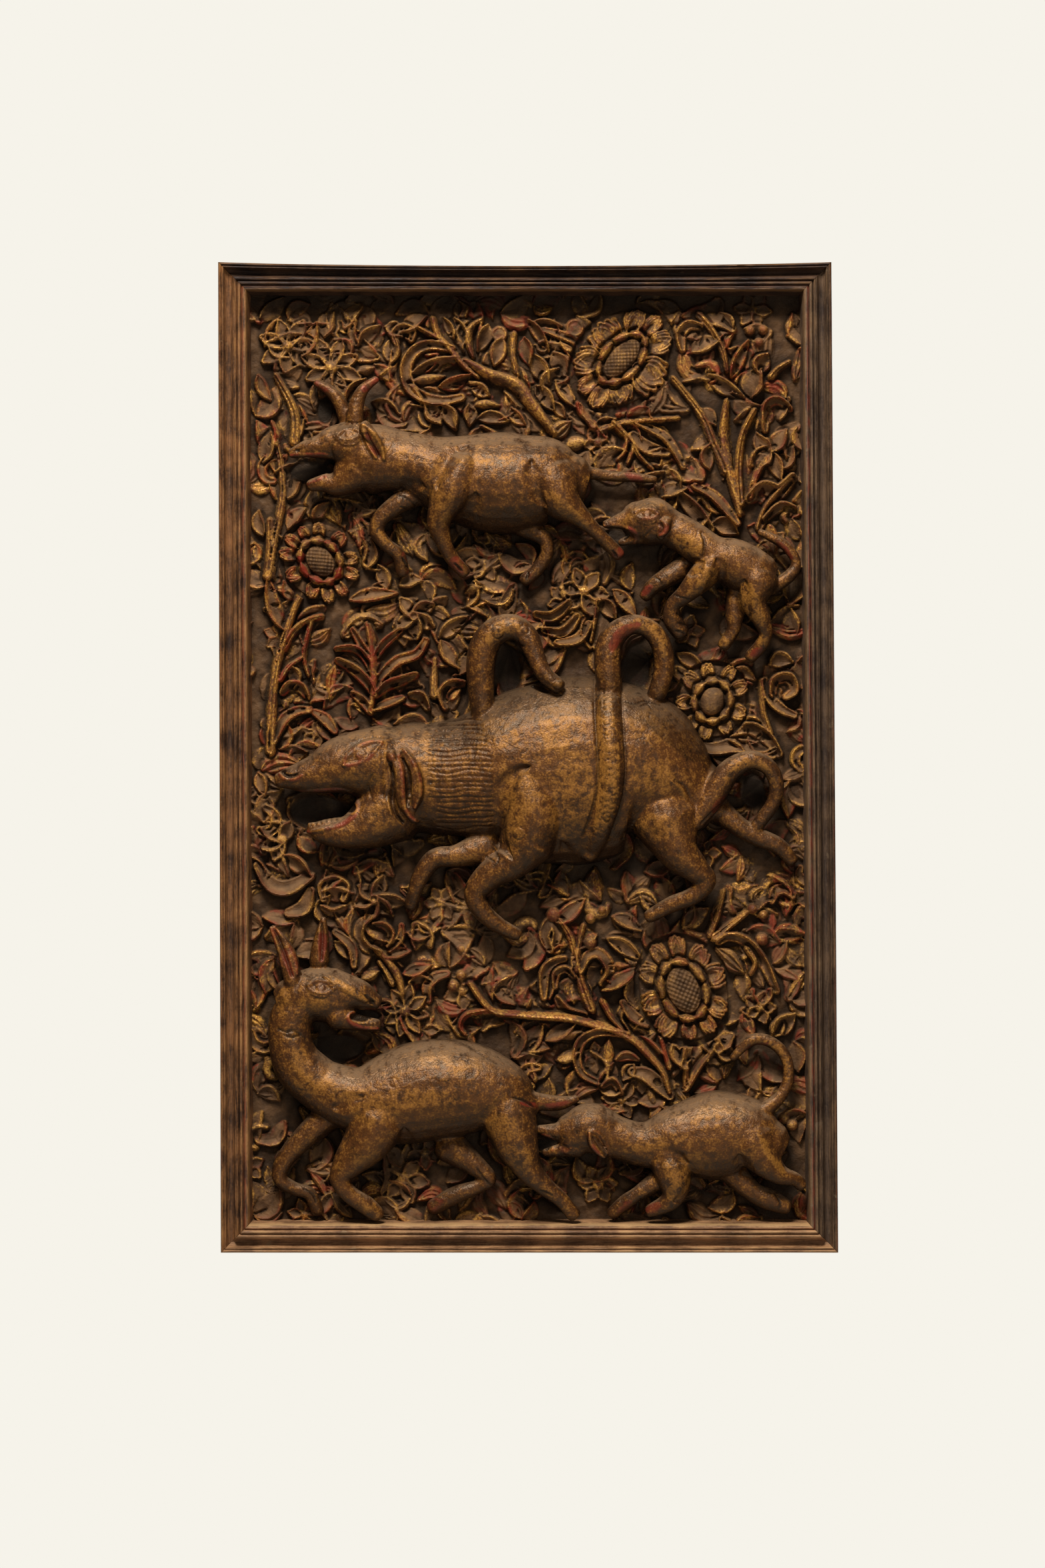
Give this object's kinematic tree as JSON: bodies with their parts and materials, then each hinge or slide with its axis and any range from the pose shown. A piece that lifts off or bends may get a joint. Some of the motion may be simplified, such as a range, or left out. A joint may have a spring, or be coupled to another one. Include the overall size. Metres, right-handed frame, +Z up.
{
  "type": "relief wall panel",
  "caption": "Tall carved and gilded wood wall panel in a mitred moulding: hunted and hunting beasts in high relief over a ground of vines and sunflowers.",
  "frame": {"origin": "on the flat back of the panel, where it rests on the wall, half way up and between the middles of its head and foot", "axes": "+Z up the panel, +X to the right as seen from the front, +Y into the wall; the carving faces -Y"},
  "size_m": [0.6013, 0.087, 0.96],
  "materials": {
    "carved_ground": "dusty brown carved wood with traces of gilding",
    "worn_gilding": "worn gold leaf over red clay on carved wood",
    "lacquered_moulding": "worn dark lacquer with gold and red lines"
  },
  "bodies": {
    "root": {"board_left_plank": "carved_ground", "board_right_plank": "carved_ground", "horned_beast": "worn_gilding", "upper_hound": "worn_gilding", "boar_with_serpent": "worn_gilding", "deer_looking_back": "worn_gilding", "lower_hound": "worn_gilding", "frame_top_rail": "lacquered_moulding", "frame_bottom_rail": "lacquered_moulding", "frame_left_stile": "lacquered_moulding", "frame_right_stile": "lacquered_moulding"}
  },
  "joints": []
}
